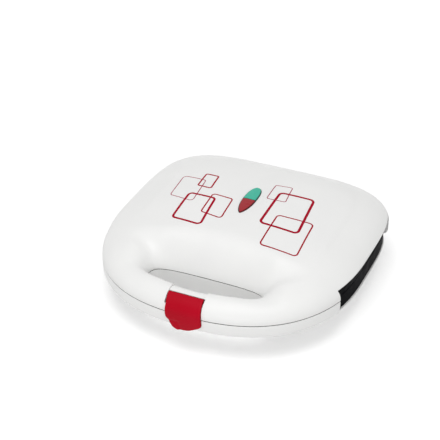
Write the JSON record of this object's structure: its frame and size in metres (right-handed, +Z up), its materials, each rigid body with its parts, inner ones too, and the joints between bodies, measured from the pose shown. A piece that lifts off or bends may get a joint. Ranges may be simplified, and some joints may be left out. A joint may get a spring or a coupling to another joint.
{
  "type": "sandwich toaster",
  "caption": "Countertop sandwich toaster with a domed hinged lid, a looped handle with a finger gap, a swinging latch, signal lenses and ribbed cooking plates.",
  "frame": {"origin": "on the table, under the middle of the whole footprint, hinge knuckles and latch included", "axes": "+X to the right seen from the handle, +Y from the handle to the hinge, +Z up; rest is closed and latched"},
  "size_m": [0.2256, 0.2431, 0.0714],
  "materials": {
    "housing_white": "smooth satin white plastic",
    "plate_black": "black non-stick coating on cast aluminium",
    "latch_red": "gloss red plastic",
    "lens_green": "frosted green plastic",
    "lens_red": "frosted red plastic",
    "element_steel": "heat-stained steel tube",
    "pin_steel": "drawn steel",
    "sheet_aluminium": "bright rolled sheet",
    "ceramic": "unglazed ceramic",
    "neon_glass": "clear glass neon lamp",
    "rubber_grey": "dark grey rubber",
    "wire_black": "black silicone insulation"
  },
  "bodies": {
    "base": {"base_housing": "housing_white", "lower_plate": "plate_black", "lower_element": "element_steel", "lower_element_beads": "ceramic", "lower_reflector": "sheet_aluminium", "lower_plate_screws": "pin_steel", "hinge_pin_left": "pin_steel", "hinge_pin_right": "pin_steel", "cord_gland": "rubber_grey", "terminal_block": "ceramic", "terminal_screws": "pin_steel", "thermal_fuse": "sheet_aluminium", "base_leads": "wire_black", "foot_front_left": "rubber_grey", "foot_front_right": "rubber_grey", "foot_rear_left": "rubber_grey", "foot_rear_right": "rubber_grey"},
    "lid": {"lid_housing": "housing_white", "upper_plate": "plate_black", "upper_element": "element_steel", "upper_element_beads": "ceramic", "upper_reflector": "sheet_aluminium", "upper_plate_screws": "pin_steel", "thermostat": "ceramic", "thermostat_bracket": "pin_steel", "lens_green": "lens_green", "lens_red": "lens_red", "lamp_holder": "ceramic", "lamp_ready": "neon_glass", "lamp_power": "neon_glass", "lid_leads": "wire_black", "latch_pin": "pin_steel"},
    "latch": {"latch": "latch_red"}
  },
  "joints": [
    {"name": "lid_hinge", "type": "hinge", "parent": "base", "child": "lid", "pos_m": [0, 0.11655, 0.037], "axis": [-1, 0, 0], "range_deg": [0, 95]},
    {"name": "latch_pivot", "type": "hinge", "parent": "lid", "child": "latch", "pos_m": [0, -0.11235, 0.046], "axis": [-1, 0, 0], "range_deg": [0, 35]}
  ]
}
